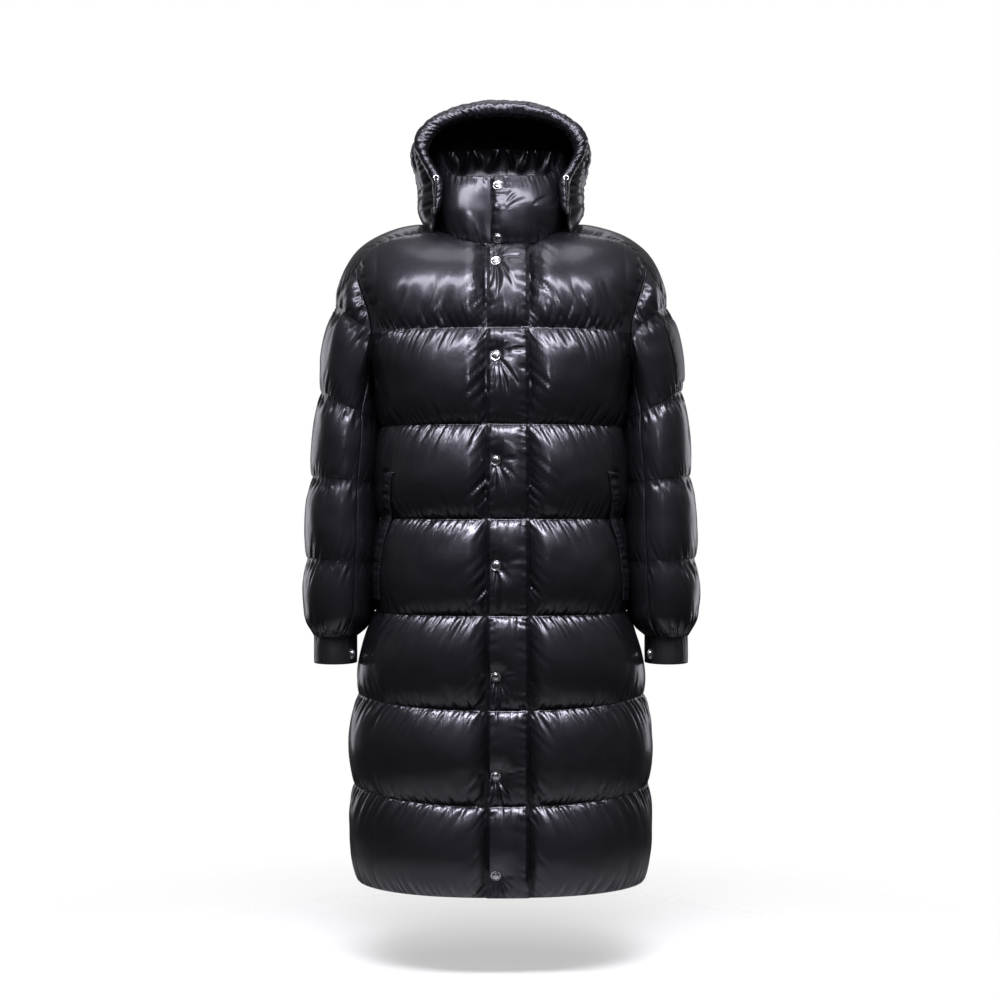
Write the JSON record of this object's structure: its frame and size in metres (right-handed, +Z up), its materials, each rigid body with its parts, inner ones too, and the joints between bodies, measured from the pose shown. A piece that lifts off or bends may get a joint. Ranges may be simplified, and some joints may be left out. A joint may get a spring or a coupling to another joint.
{
  "type": "long hooded puffer coat",
  "caption": "Long quilted down coat with a raised hood, stand collar and press-stud storm flap, filled out as when worn, hollow inside.",
  "frame": {"origin": "the base of the neck, midway between the shoulders, where the wearer's shoulders carry the coat", "axes": "+Z up, +X towards the wearer's left, +Y towards the wearer's back, so the front faces -Y"},
  "size_m": [0.6362, 0.3355, 1.2371],
  "materials": {
    "shell": "glossy coated nylon, quilted over down",
    "trim": "satin nylon",
    "metal": "polished nickel",
    "cord": "braided, matt"
  },
  "bodies": {
    "root": {"front_right": "shell", "front_left": "shell", "back": "shell", "yoke_right": "shell", "yoke_left": "shell", "sleeve_right_upper": "shell", "sleeve_right_under": "shell", "sleeve_left_upper": "shell", "sleeve_left_under": "shell", "cuff_right": "trim", "cuff_left": "trim", "collar": "shell", "hood": "shell", "hood_brim": "shell", "storm_flap": "shell", "pocket_welt_right": "shell", "pocket_welt_left": "shell", "sleeve_patch": "trim", "eyelet_right": "metal", "eyelet_left": "metal", "drawcord_right": "cord", "drawcord_left": "cord", "cord_stopper_right": "trim", "cord_stopper_left": "trim", "stud_flap_1": "metal", "stud_flap_2": "metal", "stud_flap_3": "metal", "stud_flap_4": "metal", "stud_flap_5": "metal", "stud_flap_6": "metal", "stud_flap_7": "metal", "stud_collar_top": "metal", "stud_collar_base": "metal", "stud_cuff_right": "metal", "stud_cuff_left": "metal"}
  },
  "joints": []
}
